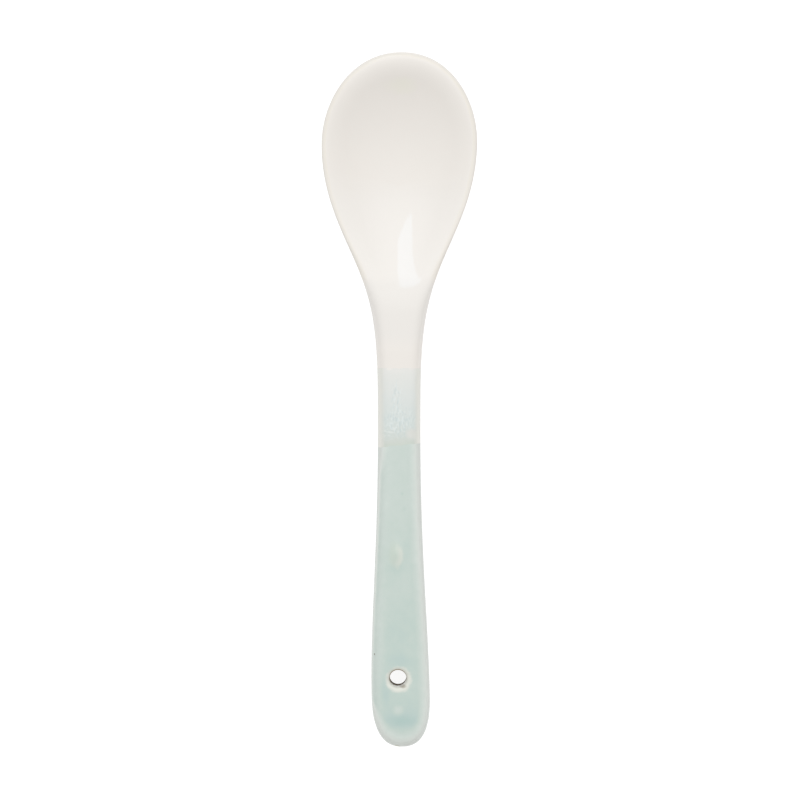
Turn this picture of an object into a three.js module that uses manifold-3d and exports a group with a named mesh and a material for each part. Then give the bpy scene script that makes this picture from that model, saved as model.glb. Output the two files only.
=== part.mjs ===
// A glazed stoneware spoon. One fired clay body carries the whole shape. The bowl end was dipped in a
// white glaze and the handle end in a celadon glaze, and where the two dips overlap they melted into a
// milky band round the handle. Each coat is a separate shell that wraps the clay.
//
// Millimetres, +Z up. The bowl tip points to +Y, and the spoon lies on z = 0 with its hollow facing up.
// A station is a distance from the bowl tip along the spoon.

import * as THREE from "three";
import { mergeVertices, toCreasedNormals } from "three/addons/utils/BufferGeometryUtils.js";
import Module from "manifold-3d";

const wasm = await Module();
wasm.setup();

// Outline, seen from above
const BOWL_WIDTH = 31.4;
const BOWL_FRONT = 18; // bowl tip to the widest place of the bowl
const BOWL_BACK = 48.5; // widest place of the bowl to the narrowest place of the neck
const NECK_WIDTH = 8.5;
const HANDLE_LENGTH = 63.4; // narrowest place of the neck to the widest place of the handle
const HANDLE_WIDTH = 11.7;
const HANDLE_CAP = 10.1; // round end beyond the widest place of the handle
const END_LEAN = 0.6; // both ends have drifted this far to +X in the kiln

// Fullness of the outline's curves: the reach of each curve handle as a share of its own stretch
const TIP_FULLNESS = 0.64;
const SHOULDER_FULLNESS = 0.45;
const BOWL_TAPER = 0.39;
const NECK_TAPER = 0.55;
const FLARE_START = 0.68;
const FLARE_END = 0.29;
const CAP_SIDE = 0.9;
const CAP_TIP = 0.28;

// Bowl and rim
const HOLLOW_DEPTH = 6.65; // floor of the hollow below the rim, measured at mid-wall
const HOLLOW_MIDDLE = 26.3; // bowl tip to the deepest place of the hollow
const HOLLOW_LENGTH = 57.6; // bowl tip to where the hollow runs out in the neck
const BOWL_WALL = 3.4;
const RIM_ROUND = 5; // how far in from the rim its front edge is rounded
const BOWL_BACK_ROUND = 2.8; // the same on the underside
const TIP_LIFT = 0.6; // rim at the bowl tip above the rim at the sides
const FOOT_DEPTH = 0.4; // how much of the bowl's underside is levelled off to stand on

// Handle
const HANDLE_FRONT = 1.9; // edge line to the front face
const HANDLE_BACK = 2.4; // edge line to the underside
const HANDLE_CROWN = 0.45; // extra height of the front face along its middle
const HANDLE_FRONT_ROUND = 2.25;
const HANDLE_BACK_ROUND = 4.1;
const ARCH_RISE = 0.6; // edge line at the top of the arch above the rim
const ARCH_TOP = 60; // station of the top of the arch
const ARCH_FALL = 1.1; // power of the fall from the arch to the handle's end, 1 is straight
const END_FOOT_DEPTH = 0.15; // how much of the handle's underside is levelled off to stand on

// Hanging hole
const HOLE_DIAMETER = 3.7;
const HOLE_FROM_END = 14.4;
const HOLE_OFFSET = -0.3; // centre of the hole from the handle's middle line
const HOLE_CLAY_ROUND = 0.35; // rounding of the hole's edges in the clay

// Lump left in the clay on the front of the handle
const LUMP_LENGTH = 4.9;
const LUMP_WIDTH = 2.4;
const LUMP_HEIGHT = 0.35;
const LUMP_ROOT = 1; // how deep its middle lies in the clay
const LUMP_STATION = 101;
const LUMP_OFFSET = -0.2; // centre of the lump from the handle's middle line

// Glaze
const GLAZE = 0.4;
const GLAZE_FIT = 0.05; // clearance between the clay, the coats and each other
const WHITE_DIP = 78.9; // how far the white dip reaches from the bowl tip
const OVERLAP = 15.3; // how far the celadon dip reaches under the white one
const WHITE_LINE_TILT = THREE.MathUtils.degToRad(6); // the white dip's edge rises to +X

// Facets
const FRONT_STEPS = 10;
const BACK_STEPS = 14;
const HANDLE_STEPS = 12;
const CAP_STEPS = 8;
const ROUND_STEPS = 4; // over a rounded edge
const FACE_STEPS = 5; // from a rounded edge to the middle line
const HOLE_SIDES = 28;
const HOLE_ROUND_STEPS = 4;
const LUMP_SIDES = 20;
const LUMP_RINGS = 10;
const CREASE_ANGLE = THREE.MathUtils.degToRad(40); // facets that meet at more than this look sharp

// Stations and heights that follow from the sizes above
const NARROWEST = BOWL_FRONT + BOWL_BACK;
const HANDLE_WIDEST = NARROWEST + HANDLE_LENGTH;
const LENGTH = HANDLE_WIDEST + HANDLE_CAP;
const HOLE_STATION = LENGTH - HOLE_FROM_END;
const CELADON_EDGE = WHITE_DIP - OVERLAP;
const RIM_HEIGHT = HOLLOW_DEPTH + BOWL_WALL / 2 - FOOT_DEPTH;
const END_REST = LENGTH - HANDLE_BACK_ROUND;
const END_HEIGHT = HANDLE_BACK - END_FOOT_DEPTH;
const FACE_HEIGHT = HANDLE_FRONT + HANDLE_CROWN; // middle of the handle's front face above its edge line
const BEYOND = LENGTH; // reach of cutters past the spoon
const SLOPE_STEP = 1; // length over which the handle's slope is taken

const { lerp, smoothstep } = THREE.MathUtils;

// 0 in the bowl, 1 in the handle
const handleShare = (station) => smoothstep(station, HOLLOW_MIDDLE, HOLLOW_LENGTH);

// Sideways drift of the middle line, none at the widest place of the bowl
function lean(station) {
  const drift = (s) => END_LEAN * ((2 * s) / LENGTH - 1) ** 4;
  return drift(station) - drift(BOWL_FRONT);
}

// Height of the edge line: the rim, the arch of the neck and the fall to the handle's end
function edgeHeight(station) {
  const tip = TIP_LIFT * Math.max(0, 1 - station / BOWL_FRONT) ** 2;
  const rise = ARCH_RISE * smoothstep(station, BOWL_FRONT, ARCH_TOP);
  const along = Math.max(0, (station - ARCH_TOP) / (END_REST - ARCH_TOP));
  const fall = (RIM_HEIGHT + ARCH_RISE - END_HEIGHT) * along ** ARCH_FALL;
  return RIM_HEIGHT + tip + rise - fall;
}

// Elliptical rise from 0 at the edge to 1 at a distance of round from it
const edgeRise = (distance, round) => Math.sqrt(1 - Math.max(0, 1 - distance / round) ** 2);

// A spoke runs from a root on the middle line to a place on the outline. In front of the deepest place
// of the hollow, and beyond the widest place of the handle, the spokes fan out from one root.
function makeSpoke(halfWidth, station, side) {
  const rootStation = THREE.MathUtils.clamp(station, HOLLOW_MIDDLE, HANDLE_WIDEST);
  const root = new THREE.Vector2(lean(rootStation), rootStation);
  const rim = new THREE.Vector2(lean(station) + side * halfWidth, station);
  const share = handleShare(rootStation);
  const reach = root.distanceTo(rim);
  return {
    root,
    rim,
    reach,
    hollow: HOLLOW_DEPTH * (1 - share),
    crown: HANDLE_CROWN * share,
    front: lerp(BOWL_WALL / 2, HANDLE_FRONT, share),
    back: lerp(BOWL_WALL / 2, HANDLE_BACK, share),
    frontRound: Math.min(reach, lerp(RIM_ROUND, HANDLE_FRONT_ROUND, share)),
    backRound: Math.min(reach, lerp(BOWL_BACK_ROUND, HANDLE_BACK_ROUND, share)),
  };
}

// A point on the front face or the underside, at a distance in from the outline along a spoke
function surfacePoint(spoke, distance, isFront) {
  const inward = distance / spoke.reach;
  const arc = 1 - (1 - inward) ** 2; // 0 at the outline, 1 on the middle line
  const place = spoke.rim.clone().lerp(spoke.root, inward);
  const middle = edgeHeight(place.y) - spoke.hollow * arc;
  const front = spoke.front * edgeRise(distance, spoke.frontRound) + spoke.crown * arc;
  const back = spoke.back * edgeRise(distance, spoke.backRound);
  const height = isFront ? middle + front : Math.max(0, middle - back);
  return new THREE.Vector3(place.x, LENGTH / 2 - place.y, height);
}

// Distances in from the outline at which a face is sampled: close together over the rounded edge
function faceSteps(reach, round) {
  const overEdge = Array.from({ length: ROUND_STEPS + 1 }, (_, i) =>
    round * (1 - Math.cos((i / ROUND_STEPS) * (Math.PI / 2))));
  const overFace = Array.from({ length: FACE_STEPS }, (_, i) =>
    lerp(round, reach, (i + 1) / FACE_STEPS));
  return [...overEdge, ...overFace];
}

// The points of one spoke, from the middle of the front face over the rim to the middle of the underside
function spokePoints(spoke) {
  const front = faceSteps(spoke.reach, spoke.frontRound).map((d) => surfacePoint(spoke, d, true));
  const back = faceSteps(spoke.reach, spoke.backRound).map((d) => surfacePoint(spoke, d, false));
  return [...front.reverse(), ...back.slice(1)];
}

// Half of the outline, from the bowl tip to the handle's end, as points of half width and station
function halfOutline() {
  const bowl = BOWL_WIDTH / 2;
  const neck = NECK_WIDTH / 2;
  const handle = HANDLE_WIDTH / 2;
  const curve = (...points) =>
    new THREE.CubicBezierCurve(...points.map(([halfWidth, s]) => new THREE.Vector2(halfWidth, s)));
  const front = curve(
    [0, 0],
    [bowl * TIP_FULLNESS, 0],
    [bowl, BOWL_FRONT * (1 - SHOULDER_FULLNESS)],
    [bowl, BOWL_FRONT],
  );
  const back = curve(
    [bowl, BOWL_FRONT],
    [bowl, BOWL_FRONT + BOWL_BACK * BOWL_TAPER],
    [neck, NARROWEST - BOWL_BACK * NECK_TAPER],
    [neck, NARROWEST],
  );
  const flare = curve(
    [neck, NARROWEST],
    [neck, NARROWEST + HANDLE_LENGTH * FLARE_START],
    [handle, HANDLE_WIDEST - HANDLE_LENGTH * FLARE_END],
    [handle, HANDLE_WIDEST],
  );
  const cap = curve(
    [handle, HANDLE_WIDEST],
    [handle, HANDLE_WIDEST + HANDLE_CAP * CAP_SIDE],
    [handle * CAP_TIP, LENGTH],
    [0, LENGTH],
  );
  return [
    ...front.getPoints(FRONT_STEPS),
    ...back.getPoints(BACK_STEPS).slice(1),
    ...flare.getPoints(HANDLE_STEPS).slice(1),
    ...cap.getPoints(CAP_STEPS).slice(1),
  ];
}

// The whole closed surface of the spoon, moved in along its normals by an inset
function spoonSurface(inset) {
  const half = halfOutline();
  const right = half.map((p) => makeSpoke(p.x, p.y, 1));
  const left = half.slice(1, -1).map((p) => makeSpoke(p.x, p.y, -1));
  const spokes = [...right, ...left.reverse()].map(spokePoints);
  const perSpoke = spokes[0].length;
  const positions = spokes.flat().flatMap((p) => p.toArray());
  const index = [];
  spokes.forEach((_, i) => {
    const here = i * perSpoke;
    const next = ((i + 1) % spokes.length) * perSpoke;
    for (let k = 0; k + 1 < perSpoke; k += 1) {
      index.push(here + k, next + k + 1, here + k + 1);
      index.push(here + k, next + k, next + k + 1);
    }
  });
  const geometry = new THREE.BufferGeometry();
  geometry.setAttribute("position", new THREE.Float32BufferAttribute(positions, 3));
  geometry.setIndex(index);
  const welded = weld(geometry);
  welded.computeVertexNormals();
  const { position, normal } = welded.attributes;
  const point = new THREE.Vector3();
  const outward = new THREE.Vector3();
  for (let i = 0; i < position.count; i += 1) {
    point.fromBufferAttribute(position, i);
    outward.fromBufferAttribute(normal, i);
    point.addScaledVector(outward, -inset);
    position.setXYZ(i, point.x, point.y, point.z);
  }
  return welded;
}

// Shares the vertices that lie together and drops the triangles that collapse with them
function weld(geometry) {
  const bare = geometry.clone();
  bare.deleteAttribute("normal");
  bare.deleteAttribute("uv");
  const merged = mergeVertices(bare);
  const kept = [];
  const corners = merged.index.array;
  for (let i = 0; i < corners.length; i += 3) {
    const [a, b, c] = corners.slice(i, i + 3);
    if (a !== b && b !== c && c !== a) kept.push(a, b, c);
  }
  merged.setIndex(kept);
  return merged;
}

// three.js geometry to a solid that can be joined and cut, and back again
function toSolid(geometry) {
  const welded = weld(geometry);
  return new wasm.Manifold(
    new wasm.Mesh({
      numProp: 3,
      vertProperties: welded.attributes.position.array,
      triVerts: new Uint32Array(welded.index.array),
    }),
  );
}

function toGeometry(solid) {
  const { vertProperties, triVerts } = solid.getMesh();
  const geometry = new THREE.BufferGeometry();
  geometry.setAttribute("position", new THREE.BufferAttribute(vertProperties, 3));
  geometry.setIndex(new THREE.BufferAttribute(triVerts, 1));
  return toCreasedNormals(geometry, CREASE_ANGLE);
}

// Moves a shape made about the origin, with +Z out of the front face, to a place on the handle's edge line
function seatOnHandle(geometry, station, offset) {
  const slope = Math.atan((edgeHeight(station) - edgeHeight(station + SLOPE_STEP)) / SLOPE_STEP);
  return geometry
    .rotateX(slope)
    .translate(lean(station) + offset, LENGTH / 2 - station, edgeHeight(station));
}

// Cutter for the hanging hole, square to the handle, wider by an inset and with edges that round off
// at the front face and the underside. The rounding keeps its centre as the inset grows.
function holeCutter(inset) {
  const centreRound = HOLE_CLAY_ROUND + GLAZE + GLAZE_FIT;
  const round = centreRound - inset;
  const lip = HOLE_DIAMETER / 2 + centreRound;
  const arc = (centreHeight, from) => Array.from({ length: HOLE_ROUND_STEPS + 1 }, (_, i) => {
    const angle = from - (i / HOLE_ROUND_STEPS) * (Math.PI / 2);
    return new THREE.Vector2(lip + round * Math.cos(angle), centreHeight + round * Math.sin(angle));
  });
  const profile = [
    new THREE.Vector2(0, -BEYOND),
    new THREE.Vector2(lip, -BEYOND),
    ...arc(centreRound - HANDLE_BACK, 1.5 * Math.PI),
    ...arc(FACE_HEIGHT - centreRound, Math.PI),
    new THREE.Vector2(lip, BEYOND),
    new THREE.Vector2(0, BEYOND),
  ];
  const cutter = new THREE.LatheGeometry(profile, HOLE_SIDES).rotateX(Math.PI / 2);
  return seatOnHandle(cutter, HOLE_STATION, HOLE_OFFSET);
}

// The lump: an ellipsoid sunk in the front face, drawn in by an inset
function lumpSurface(inset) {
  const reach = LUMP_HEIGHT + LUMP_ROOT;
  const shareAtFace = Math.sqrt(1 - (LUMP_ROOT / reach) ** 2);
  const lump = new THREE.SphereGeometry(1, LUMP_SIDES, LUMP_RINGS)
    .scale(
      LUMP_WIDTH / 2 / shareAtFace - inset,
      LUMP_LENGTH / 2 / shareAtFace - inset,
      reach - inset,
    )
    .translate(0, 0, FACE_HEIGHT - LUMP_ROOT);
  return seatOnHandle(lump, LUMP_STATION, LUMP_OFFSET);
}

// The spoon with its lump and hole, moved in by an inset: 0 is the outside of the glaze
const spoonSolid = (inset) =>
  toSolid(spoonSurface(inset))
    .add(toSolid(lumpSurface(inset)))
    .subtract(toSolid(holeCutter(inset)));

// A half space on the bowl's side of a station, with an edge line that rises to +X by a tilt
const bowlSide = (station, tilt) =>
  toSolid(new THREE.BoxGeometry(BEYOND, BEYOND, BEYOND)
    .translate(0, BEYOND / 2, 0)
    .rotateZ(tilt)
    .translate(0, LENGTH / 2 - station, 0));

const glazeShell = spoonSolid(0).subtract(spoonSolid(GLAZE));
const seam = GLAZE_FIT / 2;
const pieces = {
  clay_body: spoonSolid(GLAZE + GLAZE_FIT),
  white_glaze: glazeShell.intersect(bowlSide(CELADON_EDGE - seam, 0)),
  overlap_glaze: glazeShell
    .subtract(bowlSide(CELADON_EDGE + seam, 0))
    .intersect(bowlSide(WHITE_DIP - seam, WHITE_LINE_TILT)),
  celadon_glaze: glazeShell.subtract(bowlSide(WHITE_DIP + seam, WHITE_LINE_TILT)),
};

const finishes = {
  clay_body: { color: 0xd9c9b2, roughness: 0.85 },
  white_glaze: { color: 0xefeae3, roughness: 0.12 },
  overlap_glaze: { color: 0xdde3e0, roughness: 0.16 },
  celadon_glaze: { color: 0xc7d6cf, roughness: 0.12 },
};

const spoon = new THREE.Group();
for (const [name, solid] of Object.entries(pieces)) {
  const finish = new THREE.MeshStandardMaterial({ ...finishes[name], metalness: 0 });
  const mesh = new THREE.Mesh(toGeometry(solid), finish);
  mesh.name = name;
  spoon.add(mesh);
}

export default spoon;
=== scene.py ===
"""Looks of a dip-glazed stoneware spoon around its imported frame.

Metres, +Z up, the bowl tip to +Y, lying on z = 0. The surface is worked out in millimetres and scaled when
a mesh is made. A station is a distance from the bowl tip along the spoon.
"""
import math

import bmesh
import bpy
import numpy as np
from mathutils import Matrix, Vector


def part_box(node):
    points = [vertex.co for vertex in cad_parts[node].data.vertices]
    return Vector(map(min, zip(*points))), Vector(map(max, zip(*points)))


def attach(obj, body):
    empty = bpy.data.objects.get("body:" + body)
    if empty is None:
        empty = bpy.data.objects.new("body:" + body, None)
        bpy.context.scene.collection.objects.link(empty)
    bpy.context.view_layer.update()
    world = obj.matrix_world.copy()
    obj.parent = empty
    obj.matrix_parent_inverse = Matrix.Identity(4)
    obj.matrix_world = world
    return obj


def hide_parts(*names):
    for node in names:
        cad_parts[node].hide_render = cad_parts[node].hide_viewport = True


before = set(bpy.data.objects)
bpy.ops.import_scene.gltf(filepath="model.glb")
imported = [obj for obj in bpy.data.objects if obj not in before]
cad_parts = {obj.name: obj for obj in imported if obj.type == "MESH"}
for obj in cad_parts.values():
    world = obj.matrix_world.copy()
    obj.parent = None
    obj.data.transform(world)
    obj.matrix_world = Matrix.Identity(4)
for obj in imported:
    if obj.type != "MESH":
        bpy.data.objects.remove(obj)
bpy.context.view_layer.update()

MM = 0.001

# Sizes that the frame gives, in millimetres. The bowl's outline stays a margin inside its box
WHITE_LOW, WHITE_HIGH = (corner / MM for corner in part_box("white_glaze"))
CELADON_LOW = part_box("celadon_glaze")[0] / MM
TIP_Y = WHITE_HIGH.y
LENGTH = TIP_Y - CELADON_LOW.y
BOX_MARGIN = 0.1
BOWL_HALF = (WHITE_HIGH.x - WHITE_LOW.x) / 2 - BOX_MARGIN
CELADON_EDGE = TIP_Y - WHITE_LOW.y

# Outline, seen from above
BOWL_FRONT = 18.2
BOWL_BACK = 57.4
NECK_HALF = 4.285
HANDLE_HALF = 5.9
HANDLE_CAP = 10.4
NARROWEST = BOWL_FRONT + BOWL_BACK
HANDLE_WIDEST = LENGTH - HANDLE_CAP

# Shares of those sizes that place the outline's control points
TIP_FULLNESS, SHOULDER_FULLNESS = 0.66, 0.45
BOWL_TAPER, THROAT_TAPER, NECK_TAPER = 0.31, 0.458, 0.42
FLARE_START, FLARE_END = 0.467, 0.277
CAP_SIDE, CAP_TIP = 0.75, 0.6

# Sideways drift of the middle line, at both ends and along the bowl
END_LEAN = 0.6
BOWL_LEAN = 0.13
BOWL_LEAN_FULL, BOWL_LEAN_GONE = 36.4, 52.6

# Bowl and rim. The hollow's middle, length and run-out are stations
HOLLOW_DEPTH = 6.65
HOLLOW_MIDDLE = 26.3
HOLLOW_LENGTH = 57.6
RUN_OUT = 54.8
RUN_OUT_ROUND = 0.13
BOWL_WALL = 3.4
RIM_ROUND = 5.0
BOWL_BACK_ROUND = 2.8
TIP_FALL = 0.3
TIP_ROUND = 0.76
FOOT_DEPTH = 0.4

# Handle. Its front and back are measured from the edge line, and the arch's top is a station
HANDLE_FRONT = 1.9
HANDLE_BACK = 2.4
HANDLE_CROWN = 0.4
HANDLE_FRONT_ROUND = 2.25
HANDLE_BACK_ROUND = 4.1
ARCH_RISE = 0.6
ARCH_TOP = 60.0
ARCH_FALL_POWER = 1.1
END_FOOT_DEPTH = 0.15

# Hanging hole and lump
HOLE_RADIUS = 1.7
HOLE_STATION = 125.78
HOLE_OFFSET = -0.46
HOLE_LIP = 0.8
LUMP_LENGTH, LUMP_WIDTH, LUMP_HEIGHT = 4.9, 2.4, 0.35
LUMP_FALL = 1.6
LUMP_STATION = 100.8
LUMP_OFFSET = -0.48

# Glaze: its thickness, the share of that on edges, the white's dip line, and the swell where two coats lie
GLAZE = 0.4
EDGE_GLAZE = 0.5
WHITE_EDGE = 78.9
WHITE_LINE_TILT = math.radians(6)
OVERLAP_SWELL = 0.03
OVERLAP_EASE = 1.0

# Dip lines: how far from them rows of the mesh still follow them, and the waves that make them waver, each
# with a height, a pace in radians per millimetre and a start
DIP_LINE_SPAN = 6.0
WHITE_WAVES = ((0.06, 1.9, 1.0), (0.03, 4.7, 0.0))
CELADON_WAVES = ((0.06, 1.3, 2.0), (0.04, 4.1, 1.0))
CELADON_LINE_SHIFT = -0.12

# How far in from the outline the glaze has run thin
RIM_THIN = 2.4
LEFT_THIN_EASE = 6.0
LEFT_THIN_STATIONS = (WHITE_EDGE, WHITE_EDGE + LEFT_THIN_EASE, HOLE_STATION)
LEFT_THIN = (3.0, 1.2, 0.4)
RIGHT_THIN = 2.8
SIDE_BLEND = 1.0
END_THIN = 4.2
END_THIN_EASE = 6.5

# Heights, and the station of the handle's rest, that follow from the sizes above
RIM_HEIGHT = HOLLOW_DEPTH + BOWL_WALL / 2 - FOOT_DEPTH
END_REST = LENGTH - HANDLE_BACK_ROUND
END_HEIGHT = HANDLE_BACK - END_FOOT_DEPTH
FACE_HEIGHT = HANDLE_FRONT + HANDLE_CROWN

# Mesh: numbers of steps, sizes in millimetres, and values that each point holds for the materials
COLUMNS = 36
OUTWARD = np.sin(np.linspace(0, math.pi / 2, COLUMNS + 1))
FAN_STEPS = 40
SIDE_STEPS = 400
ROW_SPACING = 0.5
HOLE_BLOCK = 3.6
HOLE_RINGS = 4
LIP_STEPS = 6
WALL_STEPS = 6
WELD = 0.0001
POINT_LAYERS = ("edge", "front", "row")

# Nodes: a size so large that it bounds nothing, the range that most noise lies in, and the sockets of the
# node that mixes colours
UNBOUNDED = 1000.0
MOST_NOISE = (0.3, 0.7)
MIX_SHARE, MIX_UNDER, MIX_OVER = 0, 6, 7
MIX_RESULT = 2

# For glaze and clay, a colour is written as an image holds it, 0 to 255. Stops are places from 0 to 1 with
# their colours. A spot is x, station, half width and half length. An edge, a start or an end is a range
# over which something fades in or out

# White glaze from thin to thick, the pool by the bowl's tip, a tint over the back of the bowl and painted
# shade on the throat, which come and go by station
WHITE_STOPS = (
    (0.0, (230, 225, 218)),
    (0.1, (232, 227, 219)),
    (0.3, (239, 233, 224)),
    (0.5, (240, 235, 229)),
    (0.8, (239, 234, 228)),
    (1.0, (238, 235, 224)),
)
WHITE_FULL = 0.75
NECK_START = (36.3, HOLLOW_LENGTH)
POOL = (0.3, 6.6, 3.2, 1.7)
POOL_SOFT, POOL_DEPTH = 0.8, 0.2
BACK_TINT = (240, 236, 231)
BACK_START, BACK_END = (22, 31), (56, 46)
THROAT_PAINTED_SHADE = (236, 232, 227)
THROAT_START, THROAT_END = (44.5, 47.5), (61, 56)

# Overlap from the celadon's dip line to the white's, with streaks of a size, a colour and a strength
OVERLAP_STOPS = (
    (0.0, (233, 232, 228)),
    (0.1, (230, 231, 227)),
    (0.36, (224, 228, 225)),
    (0.7, (216, 224, 221)),
    (0.88, (212, 219, 214)),
    (0.95, (211, 217, 210)),
    (1.0, (208, 216, 207)),
)
STREAKS = (
    (0.44, (196, 211, 213), 0.42),
    (0.39, (231, 238, 237), 0.5),
)
STREAK_STRETCH = (1, 2.2, 1)
STREAK_EDGE = (0.48, 0.66)
HIGH_STREAKS, LOW_STREAKS = (-0.4, 69.6, 1.0, 3.0), (0.1, 74.0, 2.8, 2.8)
RIPPLE = (0.4, (231, 235, 232), 0.5)
RIPPLE_STRETCH = (5, 1, 1)
RIPPLE_EDGE = (0.46, 0.6)
RIPPLE_SPOT = (-2.1, 76.3, 1.3, 1.4)
OVERLAP_BLOTS = (
    ((2.6, 76.6, 1.1, 1.0), (222, 223, 218)),
    ((-2.0, 63.6, 0.55, 0.3), (238, 235, 230)),
    ((2.6, 63.5, 0.6, 0.28), (236, 233, 228)),
)
OVERLAP_THIN_TINT = (231, 231, 224)
OVERLAP_THIN_EDGE = (0.55, 0.15)

# Celadon from thin to thick: its growth along the handle, unevenness of sizes and amounts, and marks, which
# are spots with the thickness that they add
CELADON_STOPS = (
    (0.0, (206, 211, 206)),
    (0.1, (212, 217, 212)),
    (0.17, (219, 224, 219)),
    (0.24, (223, 229, 224)),
    (0.32, (217, 225, 219)),
    (0.42, (211, 221, 215)),
    (0.5, (206, 217, 211)),
    (0.6, (201, 214, 207)),
    (0.7, (195, 211, 204)),
    (0.8, (190, 208, 203)),
    (1.0, (178, 202, 197)),
)
GROWTH_STATIONS = (68.9, HOLE_STATION)
GROWTH = (0.49, 0.69)
CELADON_UNEVEN = ((7, 0.2), (1.6, 0.14), (0.5, 0.06))
CELADON_MARKS = (
    ((-1.0, 100.6, 0.8, 1.6), 0.12),
    ((1.5, 99.6, 0.7, 1.5), 0.08),
    ((-0.8, 103.6, 1.7, 0.8), 0.06),
    ((0.6, 88.6, 0.3, 0.3), 0.14),
    ((1.0, 91.7, 0.4, 0.4), 0.07),
    ((0.6, 122.4, 2.3, 1.2), 0.1),
    ((-2.9, 128.6, 0.9, 2.0), 0.15),
    ((0.5, 134.6, 3.0, 1.2), 0.19),
    ((0.3, 133.0, 3.6, 2.6), 0.08),
    ((-0.2, 132.4, 0.9, 0.9), -0.26),
    ((-4.9, 118.0, 1.6, 16.0), -0.2),
    ((-3.2, 93.0, 1.0, 9.0), -0.06),
)
MARK_SOFT = 0.8
CELADON_THIN_EDGE = (0, 0.95)
CELADON_THINNEST = 0.16

# Lump: yellower glaze on it, and a pale crescent on the right of its crest, partly glaze run thin and
# partly a painted highlight
LUMP_SPOT = (-0.9, 100.9, 1.1, 2.4)
LUMP_TINT = (202, 214, 204)
CREST = (-1.0, 101.0, 1.4, 2.3)
CRESCENT_START, CRESCENT_END = (0.2, 0.95), (1.5, 1.0)
CRESCENT_SIDE = (0.6, 101.4, 1.5, 2.4)
CRESCENT_THIN_GLAZE_AND_HIGHLIGHT = (214, 221, 212)

# Hole: a pale lip and a bare wall, with painted shade on the wall towards the handle's end. Their shifts
# from its middle are to the right and towards the handle's end
LIP_SHIFT = (0.15, 0.4)
LIP_EDGE = (3.0, 2.1)
LIP_STRENGTH = 0.85
LIP_TINT = (230, 230, 221)
BARE_SHIFT = (-0.04, -0.04)
BARE_EDGE = (1.82, 1.7)
BARE_ROUGHNESS = 0.8
# Bare clay of the wall from the side towards the bowl to the side towards the handle's end; the darker
# stops are painted shade
WALL_CLAY_AND_SHADE_STOPS = (
    (0.0, (178, 165, 147)),
    (0.6, (168, 156, 140)),
    (1.0, (118, 104, 86)),
)

# A smear under the hole, a speck by the left edge, and a mark on the end, which has a height and a half
# height too
CELADON_BLOTS = (
    ((0.75, 127.5, 0.6, 0.35), (186, 182, 170)),
    ((-4.95, 121.05, 0.08, 0.2), (118, 111, 99)),
)
END_MARK = (-0.4, 139.8, 0.6, 0.3, 2.3, 0.6)
END_MARK_TINT = (176, 173, 146)

# Stoneware from dark to pale, and its iron specks
CLAY_STOPS = (
    (0.15, (180, 158, 128)),
    (0.5, (209, 190, 162)),
    (0.85, (226, 211, 187)),
)
SPECK_TINT = (92, 66, 46)
SPECK_EDGE = (0.72, 0.8)

# Camera straight above, with its place in metres, and its sensor and lens in millimetres
CAMERA_PLACE = (0.00017, 0.00018, 0.65)
SENSOR = 36.0
LENS = 144.05

# Light, in metres and linear colours: a sky that is brightest above the bowl tip, and a softbox that glints
# in the throat
SKY_LOW = 0.444
SKY_RISE = 0.887
SKY_PEAK = (0.0, 0.46, 0.89)
SKY_COLOUR = (1.0, 0.998, 0.991, 1)
SOFTBOX_CORNER = Vector((-0.235, 0.436, 0.608))
SOFTBOX_RIGHT = Vector((0.024, 0.561, 0.524))
SOFTBOX_FAR = Vector((-0.367, 0.79, 0.728))
SOFTBOX_POWER = 0.62
SOFTBOX_COLOUR = (0.46, 0.72, 1.0)

# Floor, in metres and linear colours: as it lights the spoon and as it is seen
FLOOR_SIZE = 6.0
FLOOR_COLOUR = (0.8, 0.8, 0.8, 1)
SEEN_COLOUR = (0.34, 0.34, 0.34, 1)
SEEN_GLOW = 0.85


# The surface

def lerp(a, b, share):
    return a + (b - a) * share


def smoothstep(value, low, high):
    share = np.clip((value - low) / (high - low), 0, 1)
    return share * share * (3 - 2 * share)


def lean(station):
    """Sideways drift of the middle line: to the right at both ends, a little to the left along the bowl."""
    drift = END_LEAN * (2 * station / LENGTH - 1) ** 4
    return drift - BOWL_LEAN * smoothstep(station, BOWL_LEAN_GONE, BOWL_LEAN_FULL)


def near_tip(station):
    """1 at the tip of the bowl, easing to 0 at its widest place."""
    return np.maximum(0, 1 - station / BOWL_FRONT) ** 2


def edge_height(station):
    """Height of the edge line: the rim, the arch of the neck and the fall to the handle's end."""
    tip = TIP_FALL * near_tip(station)
    rise = ARCH_RISE * smoothstep(station, BOWL_FRONT, ARCH_TOP)
    along = np.maximum(0, (station - ARCH_TOP) / (END_REST - ARCH_TOP))
    fall = (RIM_HEIGHT + ARCH_RISE - END_HEIGHT) * along ** ARCH_FALL_POWER
    return RIM_HEIGHT - tip + rise - fall


def bezier(steps, *points):
    """Points of the curve that some control points draw."""
    t = np.linspace(0, 1, steps + 1)[:, None]
    last = len(points) - 1
    return sum(
        math.comb(last, i) * t ** i * (1 - t) ** (last - i) * np.array(point, float)
        for i, point in enumerate(points)
    )


def tip_outline(steps):
    """Half of the outline in front of the widest place of the bowl, as points of half width and station."""
    return bezier(
        steps,
        (0, 0),
        (BOWL_HALF * TIP_FULLNESS, 0),
        (BOWL_HALF, BOWL_FRONT * (1 - SHOULDER_FULLNESS)),
        (BOWL_HALF, BOWL_FRONT),
    )


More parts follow.
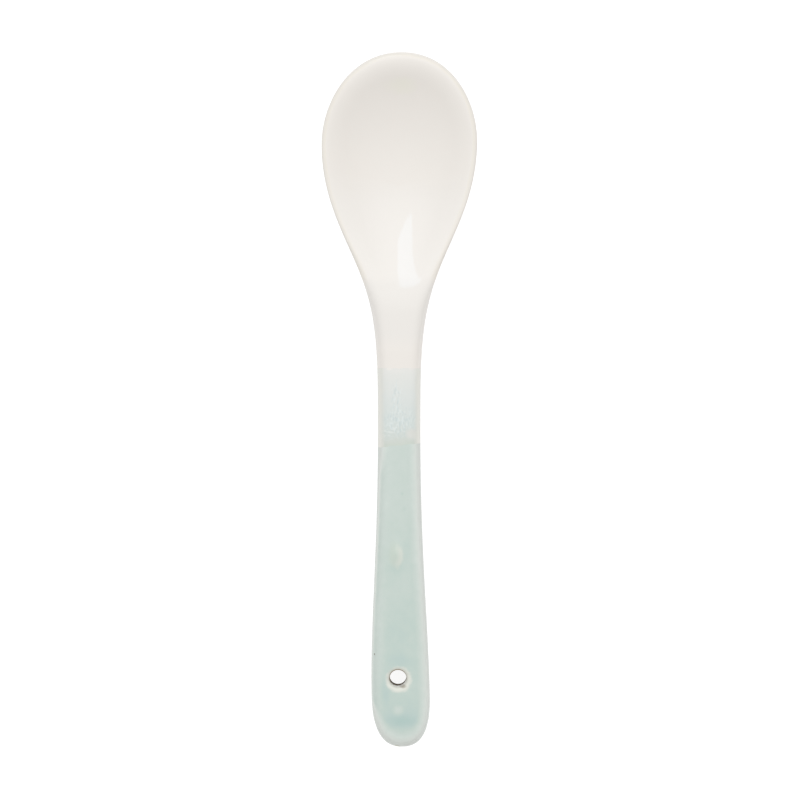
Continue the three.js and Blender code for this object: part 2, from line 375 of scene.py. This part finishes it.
def side_outline(steps):
    """Half of the outline between the widest places of the bowl and the handle."""
    handle_length = HANDLE_WIDEST - NARROWEST
    bowl = bezier(
        steps,
        (BOWL_HALF, BOWL_FRONT),
        (BOWL_HALF, BOWL_FRONT + BOWL_BACK * BOWL_TAPER),
        (NECK_HALF, BOWL_FRONT + BOWL_BACK * THROAT_TAPER),
        (NECK_HALF, NARROWEST - BOWL_BACK * NECK_TAPER),
        (NECK_HALF, NARROWEST),
    )
    handle = bezier(
        steps,
        (NECK_HALF, NARROWEST),
        (NECK_HALF, NARROWEST + handle_length * FLARE_START),
        (HANDLE_HALF, HANDLE_WIDEST - handle_length * FLARE_END),
        (HANDLE_HALF, HANDLE_WIDEST),
    )
    return np.vstack([bowl, handle])


def cap_outline(steps):
    """Half of the outline beyond the widest place of the handle."""
    return bezier(
        steps,
        (HANDLE_HALF, HANDLE_WIDEST),
        (HANDLE_HALF, HANDLE_WIDEST + HANDLE_CAP * CAP_SIDE),
        (HANDLE_HALF * CAP_TIP, LENGTH),
        (0, LENGTH),
    )


SIDES = side_outline(SIDE_STEPS)


def half_width(station):
    """Half width on the sides."""
    return np.interp(station, SIDES[:, 1], SIDES[:, 0])


def edge_rise(distance, edge_round):
    """Elliptical rise from 0 at the outline to 1 at a distance of edge_round from it."""
    return np.sqrt(1 - np.maximum(0, 1 - distance / edge_round) ** 2)


def lump(x, station):
    """Height of the lump in the clay on the front of the handle."""
    across = (x - lean(station) - LUMP_OFFSET) / (LUMP_WIDTH / 2)
    along = (station - LUMP_STATION) / (LUMP_LENGTH / 2)
    return LUMP_HEIGHT * np.exp(-LUMP_FALL * (across ** 2 + along ** 2))


def soft_floor(value, rounding):
    """The greater of a value and 0, with the corner between the two rounded off."""
    blend = np.clip(0.5 + value / (2 * rounding), 0, 1)
    return value * blend + rounding * blend * (1 - blend)


def run_out(station):
    """Share of the hollow's depth on its middle line: an ease from the deepest place, then an even slope.

    The slope goes on from the ease at its halfway point, where the ease is steepest.
    """
    along = np.maximum(0, (station - HOLLOW_MIDDLE) / (RUN_OUT - HOLLOW_MIDDLE))
    halfway = 0.5
    steepness = 1.5
    eased = 1 - along ** 2 * (3 - 2 * along)
    sloped = halfway - steepness * (along - halfway)
    return soft_floor(np.where(along < halfway, eased, sloped), RUN_OUT_ROUND)


def height(root_station, x, station, distance, reach, is_front):
    """Height of a place at a distance in from the outline, on a spoke that runs in to a root station."""
    share = smoothstep(root_station, HOLLOW_MIDDLE, HOLLOW_LENGTH)
    inner = np.clip(1 - (1 - distance / reach) ** 2, 0, 1)
    sunk = run_out(root_station) if is_front else 1 - share
    middle = edge_height(station) - HOLLOW_DEPTH * sunk * inner
    if is_front:
        edge_round = np.minimum(reach, lerp(RIM_ROUND, HANDLE_FRONT_ROUND, share))
        rim = BOWL_WALL / 2 * (1 + TIP_ROUND * near_tip(station))
        rise = lerp(rim, HANDLE_FRONT, share) * edge_rise(distance, edge_round)
        return middle + rise + HANDLE_CROWN * share * inner + lump(x, station)
    edge_round = np.minimum(reach, lerp(BOWL_BACK_ROUND, HANDLE_BACK_ROUND, share))
    drop = lerp(BOWL_WALL / 2, HANDLE_BACK, share) * edge_rise(distance, edge_round)
    return np.maximum(0, middle - drop)


def side_height(x, station, is_front):
    """Height of a place on the sides."""
    half = half_width(station)
    distance = half - np.abs(x - lean(station))
    return height(station, x, station, distance, half, is_front)


def waver(across, waves):
    """How far a dip line strays along the spoon, at a distance across it from the middle line."""
    return sum(crest * np.sin(pace * across + start) for crest, pace, start in waves)


def near_line(station, line):
    """1 on a dip line, easing to 0 at the end of its span."""
    return np.maximum(0, 1 - np.abs(station - line) / DIP_LINE_SPAN) ** 2


def dip_line_offset(across, station):
    """How far a row of the mesh moves along the spoon to follow a dip line's tilt and waver."""
    white = waver(across, WHITE_WAVES) - math.tan(WHITE_LINE_TILT) * across
    celadon = waver(across, CELADON_WAVES) + CELADON_LINE_SHIFT
    return near_line(station, WHITE_EDGE) * white + near_line(station, CELADON_EDGE) * celadon


def overlap_swell(row, distance):
    """How far the doubled glaze stands out, eased in from the dip lines and from the outline.

    A row is the station that a row of the mesh has before it follows a dip line.
    """
    past_celadon = smoothstep(row, CELADON_EDGE, CELADON_EDGE + OVERLAP_EASE)
    past_white = smoothstep(row, WHITE_EDGE, WHITE_EDGE - OVERLAP_EASE)
    return OVERLAP_SWELL * past_celadon * past_white * smoothstep(distance, 0, OVERLAP_EASE)


def thin_reach(x, station):
    """How far in from the outline the glaze has run thin, on the rim or on either side of the handle."""
    left = np.interp(station, LEFT_THIN_STATIONS, LEFT_THIN)
    side = lerp(left, RIGHT_THIN, smoothstep(x - lean(station), -SIDE_BLEND, SIDE_BLEND))
    handle = lerp(side, END_THIN, smoothstep(station, HANDLE_WIDEST, HANDLE_WIDEST + END_THIN_EASE))
    return lerp(RIM_THIN, handle, smoothstep(station, HOLLOW_MIDDLE, HOLLOW_LENGTH))


# Meshes

def face_points(rims, side, is_front):
    """Points of one face for a run of outline points on one side, from the middle line out.

    Each point holds x, station, height, distance in from the outline, 1 on the front or 0 below, and row.
    """
    half, row = rims[:, :1], rims[:, 1:]
    on_sides = (row >= BOWL_FRONT) & (row <= HANDLE_WIDEST)
    offset = dip_line_offset(side * half * OUTWARD, row)
    station = row + np.where(on_sides, offset, 0)
    half = np.where(on_sides, half_width(station), half)
    root = np.clip(station, HOLLOW_MIDDLE, HANDLE_WIDEST)
    rim_x = lean(station) + side * half
    reach = np.hypot(rim_x - lean(root), station - root)
    x = lerp(lean(root), rim_x, OUTWARD)
    along = lerp(root, station, OUTWARD)
    distance = reach * (1 - OUTWARD)
    swell = overlap_swell(row, distance)
    z = height(root, x, along, distance, reach, is_front) + (swell if is_front else -swell)
    facing = np.full_like(x, is_front)
    return np.stack([x, along, z, distance, facing, np.broadcast_to(row, x.shape)], axis=-1)


def spoke_points(rims, side):
    """Rows of points from the middle of the front face over the outline to the middle of the underside."""
    front = face_points(rims, side, True)
    back = face_points(rims, side, False)[:, ::-1]
    return np.concatenate([front, back[:, 1:]], axis=1)


def side_rows(low, high):
    """Outline points between two stations on the sides."""
    stations = np.linspace(low, high, round((high - low) / ROW_SPACING) + 1)
    return np.column_stack([half_width(stations), stations])


def hole_axes():
    """The hole's middle on the edge line, as x, station and height, and the slope of the handle there."""
    step = 0.5
    fall = edge_height(HOLE_STATION - step) - edge_height(HOLE_STATION + step)
    place = (lean(HOLE_STATION) + HOLE_OFFSET, HOLE_STATION, edge_height(HOLE_STATION))
    return np.array(place), math.atan(fall / (2 * step))


def to_hole(points):
    """Places about the hole: across, along the handle towards the bowl, and out of the front face."""
    middle, slope = hole_axes()
    across, back, up = (points[..., i] - middle[i] for i in range(3))
    along = -back * math.cos(slope) + up * math.sin(slope)
    out = back * math.sin(slope) + up * math.cos(slope)
    return across, along, out


def from_hole(across, along, out):
    """The reverse of to_hole."""
    middle, slope = hole_axes()
    back = -along * math.cos(slope) + out * math.sin(slope)
    up = along * math.sin(slope) + out * math.cos(slope)
    return np.stack([middle[0] + across, middle[1] + back, middle[2] + up], axis=-1)


def block_loop(right, left, first, last, columns):
    """The loop of grid points round the block of cells that makes room for the hole, on one face."""
    far = columns[-1]
    return np.concatenate([
        right[first, columns],
        right[first + 1:last, far],
        right[last, columns[::-1]],
        left[last, columns[1:]],
        left[last - 1:first:-1, far],
        left[first, columns[::-1]],
    ])


def hole_rings(loop, is_front):
    """Rings of points from a loop of grid points over the hole's rounded lip to its wall."""
    across, along, _ = to_hole(loop)
    angle = np.arctan2(along, across)
    lip_radius = HOLE_RADIUS + HOLE_LIP
    level = FACE_HEIGHT if is_front else -HANDLE_BACK
    lip = from_hole(lip_radius * np.cos(angle), lip_radius * np.sin(angle), level)
    rings = []
    for share in np.linspace(0, 1, HOLE_RINGS + 1):
        place = lerp(loop[:, :3], lip, share)
        place[:, 2] = side_height(place[:, 0], place[:, 1], is_front)
        rings.append(place)
    _, _, out = to_hole(rings[-1])
    for turn in np.linspace(0, math.pi / 2, LIP_STEPS + 1)[1:]:
        radius = lip_radius - HOLE_LIP * math.sin(turn)
        sunk = HOLE_LIP * (1 - math.cos(turn))
        level = out - sunk if is_front else out + sunk
        rings.append(from_hole(radius * np.cos(angle), radius * np.sin(angle), level))
    return rings


def hole_grid(right, left, first, last, columns):
    """The grid of points that lines the hole, from the front face through it to the underside."""
    front = hole_rings(block_loop(right, left, first, last, columns), True)
    back = hole_rings(block_loop(right, left, first, last, 2 * COLUMNS - columns), False)
    wall = [lerp(front[-1], back[-1], share) for share in np.linspace(0, 1, WALL_STEPS + 1)[1:-1]]
    places = np.stack(front + wall + back[::-1])
    station = places[..., 1]
    distance = half_width(station) - np.abs(places[..., 0] - lean(station))
    is_front = np.zeros_like(distance)
    is_front[:len(places) // 2] = 1
    return np.concatenate([places, np.stack([distance, is_front, station], axis=-1)], axis=-1)


def grid_cells(grid):
    """Corner numbers of the cells of a grid, one row of cells per row of points."""
    rows, columns = grid.shape[:2]
    number = np.arange(rows * columns).reshape(rows, columns)
    return np.stack([number[:-1, :-1], number[1:, :-1], number[1:, 1:], number[:-1, 1:]], axis=-1)


def add_grid(bm, grid, cells):
    """Adds the cells of a grid to a mesh. Layers hold what the materials need to know of each point."""
    x, station, z, distance, is_front, row = grid.reshape(-1, grid.shape[-1]).T
    edge = distance / thin_reach(x, station)
    layers = [bm.verts.layers.float[name] for name in POINT_LAYERS]
    places = np.column_stack([x, TIP_Y - station, z]) * MM
    vertices = []
    for place, values in zip(places, np.column_stack([edge, is_front, row])):
        vertex = bm.verts.new(place)
        for layer, value in zip(layers, values):
            vertex[layer] = value
        vertices.append(vertex)
    for corners in cells.reshape(-1, 4):
        bm.faces.new([vertices[i] for i in corners])


def thicken(bm):
    """Makes a skin into a closed shell. Its inside lies one thickness of glaze in, and less along edges."""
    bm.normal_update()
    thin = bm.verts.layers.float["edge"]
    skin = list(bm.faces)
    edges = [edge for edge in bm.edges if edge.is_boundary]
    inside = {}
    for vertex in list(bm.verts):
        depth = GLAZE * lerp(EDGE_GLAZE, 1, min(1, vertex[thin]))
        inside[vertex] = bm.verts.new(vertex.co - vertex.normal * depth * MM, vertex)
    for face in skin:
        bm.faces.new([inside[vertex] for vertex in reversed(face.verts)])
    for edge in edges:
        start = edge.link_loops[0].vert
        end = edge.other_vert(start)
        bm.faces.new([end, start, inside[start], inside[end]])
        edge.smooth = False


def make_shell(name, grids):
    """A closed shell of glaze whose outside is made of grids of points."""
    bm = bmesh.new()
    for layer in POINT_LAYERS:
        bm.verts.layers.float.new(layer)
    for grid, cells in grids:
        add_grid(bm, grid, cells)
    bmesh.ops.remove_doubles(bm, verts=bm.verts, dist=WELD * MM)
    loose = [vertex for vertex in bm.verts if not vertex.link_faces]
    bmesh.ops.delete(bm, geom=loose, context="VERTS")
    bmesh.ops.recalc_face_normals(bm, faces=bm.faces)
    thicken(bm)
    mesh = bpy.data.meshes.new(name)
    bm.to_mesh(mesh)
    bm.free()
    mesh.shade_smooth()
    piece = bpy.data.objects.new(name, mesh)
    bpy.context.scene.collection.objects.link(piece)
    return piece


def both_sides(rims):
    """The grids of the right and the left side, with all their cells."""
    grids = [spoke_points(rims, side) for side in (1, -1)]
    return [(grid, grid_cells(grid)) for grid in grids]


def white_grids():
    """The bowl and the neck, as far as the celadon's dip line."""
    return both_sides(np.vstack([tip_outline(FAN_STEPS)[:-1], side_rows(BOWL_FRONT, CELADON_EDGE)]))


def overlap_grids():
    """The band between the two dip lines."""
    return both_sides(side_rows(CELADON_EDGE, WHITE_EDGE))


def celadon_grids():
    """The handle beyond the white's dip line, with the hole's lining in place of a block of cells."""
    rims = np.vstack([side_rows(WHITE_EDGE, HANDLE_WIDEST), cap_outline(FAN_STEPS)[1:]])
    (right, cells), (left, _) = both_sides(rims)
    in_block = np.flatnonzero(np.abs(rims[:, 1] - HOLE_STATION) < HOLE_BLOCK)
    first, last = in_block[0], in_block[-1]
    columns = np.flatnonzero(HANDLE_HALF * OUTWARD < HOLE_BLOCK)
    count = columns[-1]
    cut = np.zeros(cells.shape[:2], bool)
    cut[first:last, :count] = True
    cut[first:last, 2 * COLUMNS - count:] = True
    lining = hole_grid(right, left, first, last, columns)
    return [(right, cells[~cut]), (left, cells[~cut]), (lining, grid_cells(lining))]


# Materials

def srgb(red, green, blue):
    """A colour as an image holds it, 0 to 255, as the linear colour that shaders take."""
    def linear(level):
        share = level / 255
        return share / 12.92 if share <= 0.04045 else ((share + 0.055) / 1.055) ** 2.4
    return linear(red), linear(green), linear(blue), 1


class Surface:
    """A material made of nodes. Sizes and places are in millimetres on the spoon."""

    def __init__(self, name):
        self.material = bpy.data.materials.new(name)
        self.material.use_nodes = True
        self.tree = self.material.node_tree
        self.shader = self.tree.nodes["Principled BSDF"]
        self.place = self.add("ShaderNodeTexCoord").outputs["Object"]

    def feed(self, socket, value):
        """Links a socket to another one, or sets it to a plain value."""
        if isinstance(value, bpy.types.NodeSocket):
            self.tree.links.new(value, socket)
        else:
            socket.default_value = value

    def add(self, kind, inputs=None, **settings):
        """A new node with its settings and its inputs."""
        node = self.tree.nodes.new(kind)
        for key, value in settings.items():
            setattr(node, key, value)
        for key, value in (inputs or {}).items():
            self.feed(node.inputs[key], value)
        return node

    def maths(self, operation, *values):
        """The result of an operation on some values."""
        return self.add("ShaderNodeMath", dict(enumerate(values)), operation=operation).outputs[0]

    def layer_value(self, name):
        """The value that the mesh holds for a point."""
        return self.add("ShaderNodeAttribute", attribute_name=name).outputs["Fac"]

    def ease(self, value, start, end, low=0.0, high=1.0):
        """Goes from low to high while a value goes from start to end."""
        inputs = {"Value": value, "From Min": start, "From Max": end, "To Min": low, "To Max": high}
        return self.add("ShaderNodeMapRange", inputs, interpolation_type="SMOOTHSTEP").outputs["Result"]

    def band(self, value, start, end):
        """Goes up to 1 while a value crosses one range, and back to 0 while it crosses another."""
        return self.maths("MULTIPLY", self.ease(value, *start), self.ease(value, *end))

    def noise(self, size, stretch=(1, 1, 1), detail=2):
        """Noise between 0 and 1 in lumps of a size, drawn out along the axes."""
        scale = [1 / (size * MM * longer) for longer in stretch]
        place = self.add("ShaderNodeVectorMath", {0: self.place, 1: scale}, operation="MULTIPLY")
        inputs = {"Vector": place.outputs[0], "Scale": 1, "Detail": detail}
        return self.add("ShaderNodeTexNoise", inputs).outputs["Fac"]

    def vary(self, value, size, amount):
        """A value with noise in lumps of a size added, half of it up and half down."""
        change = self.maths("MULTIPLY_ADD", self.noise(size), amount, -amount / 2)
        return self.maths("ADD", value, change)

    def gloss(self, size, smooth, rough):
        """A roughness that wanders between two values in lumps of a size."""
        return self.ease(self.noise(size), *MOST_NOISE, low=smooth, high=rough)

    def reach(self, x, station, across, along, z=0.0, tall=UNBOUNDED):
        """Distance from a place on the spoon: 1 on an ellipse, or an ellipsoid, of half sizes about it."""
        inputs = {
            "Vector": self.place,
            "Location": (x * MM, (TIP_Y - station) * MM, z * MM),
            "Scale": (across * MM, along * MM, tall * MM),
        }
        place = self.add("ShaderNodeMapping", inputs, vector_type="TEXTURE").outputs[0]
        return self.add("ShaderNodeVectorMath", {0: place}, operation="LENGTH").outputs["Value"]

    def blot(self, reach, soft=0.5):
        """1 within a reach of 1, easing to 0 outside it, with a ragged edge."""
        return self.ease(self.vary(reach, size=0.8, amount=0.5), 1 + soft, 1 - soft)

    def spot(self, place, soft=0.5):
        """A blot on the front of the spoon."""
        return self.maths("MULTIPLY", self.blot(self.reach(*place), soft), self.layer_value("front"))

    def layer(self, under, over, share):
        """A colour laid over another. The upper one is a socket, or is written as an image holds it."""
        upper = over if isinstance(over, bpy.types.NodeSocket) else srgb(*over)
        inputs = {MIX_SHARE: share, MIX_UNDER: under, MIX_OVER: upper}
        return self.add("ShaderNodeMix", inputs, data_type="RGBA").outputs[MIX_RESULT]

    def colours(self, value, stops):
        """The colour that a value picks from a run of stops."""
        node = self.add("ShaderNodeValToRGB", {"Fac": value})
        elements = node.color_ramp.elements
        elements[0].position, elements[0].color = stops[0][0], srgb(*stops[0][1])
        elements[1].position, elements[1].color = stops[-1][0], srgb(*stops[-1][1])
        for place, colour in stops[1:-1]:
            elements.new(place).color = srgb(*colour)
        return node.outputs["Color"]

    def finish(self, colour, roughness, unevenness, size):
        """Feeds the shader: a colour, a roughness, and a height by which lumps of a size stand out."""
        inputs = {"Height": self.noise(size), "Strength": 1, "Distance": unevenness * MM}
        self.feed(self.shader.inputs["Base Color"], colour)
        self.feed(self.shader.inputs["Roughness"], roughness)
        self.feed(self.shader.inputs["Normal"], self.add("ShaderNodeBump", inputs).outputs[0])
        return self.material


def white_material():
    """White glaze: warm, with a yellowish line where it breaks over the rim of the bowl."""
    glaze = Surface("white_coat")
    row = glaze.layer_value("row")
    edge = glaze.vary(glaze.layer_value("edge"), size=3, amount=0.12)
    edge = glaze.ease(edge, 0, WHITE_FULL, high=WHITE_FULL)
    neck = glaze.ease(row, *NECK_START, high=WHITE_FULL)
    thickness = glaze.vary(glaze.maths("MAXIMUM", edge, neck), size=9, amount=0.14)
    thickness = glaze.vary(thickness, size=2.2, amount=0.06)
    thickness = glaze.maths("MULTIPLY_ADD", glaze.spot(POOL, POOL_SOFT), POOL_DEPTH, thickness)
    colour = glaze.colours(thickness, WHITE_STOPS)
    back = glaze.maths("MULTIPLY", glaze.band(row, BACK_START, BACK_END), edge)
    colour = glaze.layer(colour, BACK_TINT, back)
    # Painted shade: the throat below the glint is darkened in colour between its start and end stations
    colour = glaze.layer(colour, THROAT_PAINTED_SHADE, glaze.band(row, THROAT_START, THROAT_END))
    roughness = glaze.gloss(size=6, smooth=0.04, rough=0.07)
    return glaze.finish(colour, roughness, unevenness=0.002, size=1.6)


def add_streaks(glaze, colour):
    """Streaks down the middle of the overlap, and ripples across its lower left."""
    middle = glaze.maths("MAXIMUM", glaze.spot(HIGH_STREAKS), glaze.spot(LOW_STREAKS))
    for size, tint, strength in STREAKS:
        streaks = glaze.ease(glaze.noise(size, STREAK_STRETCH, detail=1), *STREAK_EDGE, high=strength)
        colour = glaze.layer(colour, tint, glaze.maths("MULTIPLY", streaks, middle))
    size, tint, strength = RIPPLE
    ripples = glaze.ease(glaze.noise(size, RIPPLE_STRETCH, detail=1), *RIPPLE_EDGE, high=strength)
    return glaze.layer(colour, tint, glaze.maths("MULTIPLY", ripples, glaze.spot(RIPPLE_SPOT)))


def add_blots(glaze, colour, blots):
    """Spots of other colours."""
    for place, tint in blots:
        colour = glaze.layer(colour, tint, glaze.spot(place))
    return colour


def overlap_material():
    """Two glazes melted together: milky, with blue streaks where they have run into each other."""
    glaze = Surface("overlap_coat")
    length = WHITE_EDGE - CELADON_EDGE
    down = glaze.maths("MULTIPLY_ADD", glaze.layer_value("row"), 1 / length, -CELADON_EDGE / length)
    colour = glaze.colours(glaze.vary(down, size=1.4, amount=0.1), OVERLAP_STOPS)
    colour = add_streaks(glaze, colour)
    colour = add_blots(glaze, colour, OVERLAP_BLOTS)
    edge = glaze.vary(glaze.layer_value("edge"), size=1.2, amount=0.2)
    colour = glaze.layer(colour, OVERLAP_THIN_TINT, glaze.ease(edge, *OVERLAP_THIN_EDGE))
    roughness = glaze.gloss(size=2, smooth=0.09, rough=0.18)
    return glaze.finish(colour, roughness, unevenness=0.012, size=0.6)


def celadon_thickness(glaze):
    """How thick the celadon lies: more towards the hole, unevenly, and least along edges."""
    thickness = glaze.ease(glaze.layer_value("row"), *GROWTH_STATIONS, *GROWTH)
    for size, amount in CELADON_UNEVEN:
        thickness = glaze.vary(thickness, size, amount)
    for place, amount in CELADON_MARKS:
        thickness = glaze.maths("MULTIPLY_ADD", glaze.spot(place, MARK_SOFT), amount, thickness)
    edge = glaze.vary(glaze.layer_value("edge"), size=1.5, amount=0.16)
    return glaze.maths("MULTIPLY", thickness, glaze.ease(edge, *CELADON_THIN_EDGE, low=CELADON_THINNEST))


def add_lump_tints_and_highlight(glaze, colour):
    """The glaze on the lump, and the pale crescent on the right of its crest: thin glaze there, with a
    painted highlight.
    """
    colour = glaze.layer(colour, LUMP_TINT, glaze.spot(LUMP_SPOT))
    # Thin glaze with a painted highlight: the pale crescent on the lump's right side
    crest = glaze.vary(glaze.reach(*CREST), size=0.8, amount=0.3)
    crescent = glaze.band(crest, CRESCENT_START, CRESCENT_END)
    crescent = glaze.maths("MULTIPLY", crescent, glaze.spot(CRESCENT_SIDE))
    return glaze.layer(colour, CRESCENT_THIN_GLAZE_AND_HIGHLIGHT, crescent)


def hole_reach(glaze, shift):
    """Distance in millimetres from a place by the hole's middle."""
    x = lean(HOLE_STATION) + HOLE_OFFSET + shift[0]
    return glaze.reach(x, HOLE_STATION + shift[1], 1, 1)


def add_lip(glaze, colour):
    """Thin, pale glaze round the hole."""
    lip = glaze.vary(hole_reach(glaze, LIP_SHIFT), size=0.9, amount=0.8)
    return glaze.layer(colour, LIP_TINT, glaze.ease(lip, *LIP_EDGE, high=LIP_STRENGTH))


def bare_share(glaze):
    """1 on the wall of the hole, where the clay is bare."""
    bare = glaze.vary(hole_reach(glaze, BARE_SHIFT), size=0.5, amount=0.16)
    return glaze.ease(bare, *BARE_EDGE)


def wall_clay_and_shade(glaze):
    """Clay in the hole, with painted shade that darkens it towards the end of the handle."""
    down = glaze.ease(glaze.layer_value("row"), HOLE_STATION - HOLE_RADIUS, HOLE_STATION + HOLE_RADIUS)
    return glaze.colours(down, WALL_CLAY_AND_SHADE_STOPS)


def celadon_material():
    """Celadon: greener where it has run thick, paler over edges and round the hole, where it is thin."""
    glaze = Surface("celadon_coat")
    bare = bare_share(glaze)
    colour = glaze.colours(celadon_thickness(glaze), CELADON_STOPS)
    colour = add_lump_tints_and_highlight(glaze, colour)
    colour = add_lip(glaze, colour)
    colour = glaze.layer(colour, wall_clay_and_shade(glaze), bare)
    colour = add_blots(glaze, colour, CELADON_BLOTS)
    colour = glaze.layer(colour, END_MARK_TINT, glaze.blot(glaze.reach(*END_MARK)))
    roughness = glaze.gloss(size=5, smooth=0.07, rough=0.13)
    roughness = glaze.maths("MULTIPLY_ADD", bare, BARE_ROUGHNESS, roughness)
    return glaze.finish(colour, roughness, unevenness=0.008, size=0.9)


def stoneware_material():
    """Fired clay: buff, with grog and iron specks."""
    clay = Surface("stoneware")
    grain = clay.vary(clay.noise(size=3), size=0.35, amount=0.5)
    colour = clay.colours(grain, CLAY_STOPS)
    specks = clay.ease(clay.noise(size=0.45, detail=0), *SPECK_EDGE)
    colour = clay.layer(colour, SPECK_TINT, specks)
    roughness = clay.ease(grain, start=0.2, end=0.8, low=0.7, high=0.9)
    return clay.finish(colour, roughness, unevenness=0.03, size=0.3)


# Studio

def add_camera():
    """A camera that looks straight down."""
    camera = bpy.data.objects.new("camera", bpy.data.cameras.new("camera"))
    bpy.context.scene.collection.objects.link(camera)
    bpy.context.scene.camera = camera
    camera.location = CAMERA_PLACE
    camera.data.sensor_width = SENSOR
    camera.data.lens = LENS


def add_sky():
    """A sky that grows brighter towards its peak."""
    world = bpy.data.worlds.new("world")
    bpy.context.scene.world = world
    world.use_nodes = True
    tree = world.node_tree
    background = tree.nodes["Background"]
    coordinates = tree.nodes.new("ShaderNodeTexCoord")
    facing = tree.nodes.new("ShaderNodeVectorMath")
    facing.operation = "DOT_PRODUCT"
    facing.inputs[1].default_value = SKY_PEAK
    level = tree.nodes.new("ShaderNodeMapRange")
    level.inputs["To Min"].default_value = SKY_LOW
    level.inputs["To Max"].default_value = SKY_LOW + SKY_RISE
    tree.links.new(coordinates.outputs["Generated"], facing.inputs[0])
    tree.links.new(facing.outputs["Value"], level.inputs["Value"])
    tree.links.new(level.outputs[0], background.inputs["Strength"])
    background.inputs["Color"].default_value = SKY_COLOUR


def add_softbox():
    """A rectangular lamp given by one corner and the two corners next to it."""
    across = SOFTBOX_RIGHT - SOFTBOX_CORNER
    along = SOFTBOX_FAR - SOFTBOX_CORNER
    lamp = bpy.data.lights.new("softbox", "AREA")
    lamp.shape = "RECTANGLE"
    lamp.size = across.length
    lamp.size_y = along.length
    lamp.energy = SOFTBOX_POWER
    lamp.color = SOFTBOX_COLOUR
    softbox = bpy.data.objects.new("softbox", lamp)
    bpy.context.scene.collection.objects.link(softbox)
    x_axis, y_axis = across.normalized(), along.normalized()
    axes = Matrix((x_axis, y_axis, x_axis.cross(y_axis))).transposed()
    middle = SOFTBOX_CORNER + (across + along) / 2
    softbox.matrix_world = Matrix.Translation(middle) @ axes.to_4x4()


def add_floor():
    """A pale floor that looks white, with a faint shadow on it."""
    bpy.ops.mesh.primitive_plane_add(size=FLOOR_SIZE)
    floor = bpy.context.object
    floor.name = "floor"
    surface = Surface("floor")
    rays = surface.add("ShaderNodeLightPath").outputs
    seen = surface.maths("MAXIMUM", rays["Is Camera Ray"], rays["Is Glossy Ray"])
    seen = surface.maths("MAXIMUM", seen, rays["Is Transmission Ray"])
    lit = surface.add("ShaderNodeBsdfDiffuse", {"Color": FLOOR_COLOUR})
    shadowed = surface.add("ShaderNodeBsdfDiffuse", {"Color": SEEN_COLOUR})
    glow = surface.add("ShaderNodeEmission", {"Strength": SEEN_GLOW})
    white = surface.add("ShaderNodeAddShader", {0: shadowed.outputs[0], 1: glow.outputs[0]})
    mix = surface.add("ShaderNodeMixShader", {0: seen, 1: lit.outputs[0], 2: white.outputs[0]})
    surface.feed(surface.tree.nodes["Material Output"].inputs["Surface"], mix.outputs[0])
    floor.data.materials.append(surface.material)


# The spoon

def add_coat(name, node, grids, material):
    """A shell of glaze that stands for its CAD node."""
    piece = make_shell(name, grids)
    piece.data.materials.append(material)
    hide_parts(node)
    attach(piece, "root")


add_coat("white_coat", "white_glaze", white_grids(), white_material())
add_coat("overlap_coat", "overlap_glaze", overlap_grids(), overlap_material())
add_coat("celadon_coat", "celadon_glaze", celadon_grids(), celadon_material())
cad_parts["clay_body"].material_slots[0].material = stoneware_material()
add_camera()
add_sky()
add_softbox()
add_floor()
bpy.context.scene.view_settings.view_transform = "Standard"
